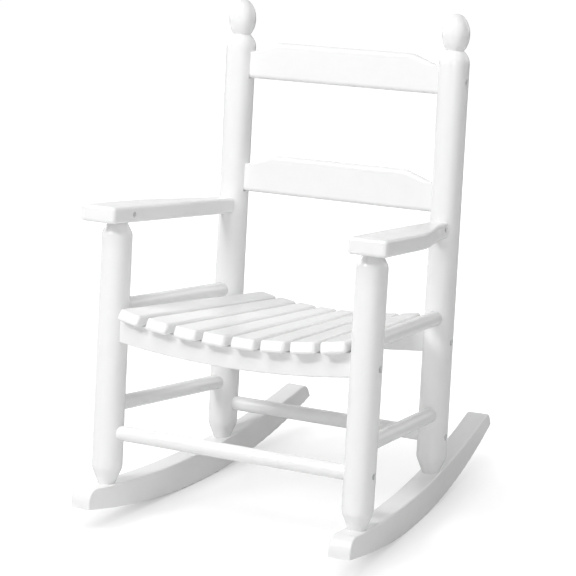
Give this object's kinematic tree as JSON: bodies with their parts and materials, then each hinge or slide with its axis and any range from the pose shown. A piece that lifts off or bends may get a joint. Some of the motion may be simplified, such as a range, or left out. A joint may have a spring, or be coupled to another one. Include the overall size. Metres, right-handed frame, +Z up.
{
  "type": "child rocking chair",
  "caption": "Child's wooden rocking chair with turned posts, egg finials, a scooped slat seat, a slatted back, flat arms and curved rockers.",
  "frame": {"origin": "centre of the chair's footprint on the floor, under the middle of its bounding box", "axes": "+Z up; -Y is the front, where the child's legs come over the seat's edge; +X is the side of the right_ pieces, which is on the viewer's right when the chair is seen from its front"},
  "size_m": [0.3814, 0.4534, 0.5629],
  "materials": {
    "white_paint": "hardwood under satin white paint",
    "bare_wood": "bare birch dowel, hidden in its joint",
    "screw_steel": "zinc-plated steel"
  },
  "bodies": {
    "root": {"arm_back_screws": "screw_steel", "arm_front_screws": "screw_steel", "back_seat_rail": "white_paint", "back_stretcher": "white_paint", "frame_screws": "screw_steel", "front_seat_rail": "white_paint", "front_stretcher": "white_paint", "left_arm": "white_paint", "left_arm_peg": "bare_wood", "left_back_post": "white_paint", "left_front_post": "white_paint", "left_rocker": "white_paint", "left_seat_side_dowel": "white_paint", "left_side_stretcher": "white_paint", "lower_back_slat": "white_paint", "right_arm": "white_paint", "right_arm_peg": "bare_wood", "right_back_post": "white_paint", "right_front_post": "white_paint", "right_rocker": "white_paint", "right_seat_side_dowel": "white_paint", "right_side_stretcher": "white_paint", "rocker_screws": "screw_steel", "seat_nails": "screw_steel", "seat_slat_1": "white_paint", "seat_slat_2": "white_paint", "seat_slat_3": "white_paint", "seat_slat_4": "white_paint", "seat_slat_5": "white_paint", "seat_slat_6": "white_paint", "seat_slat_7": "white_paint", "seat_slat_8": "white_paint", "upper_back_slat": "white_paint"}
  },
  "joints": []
}
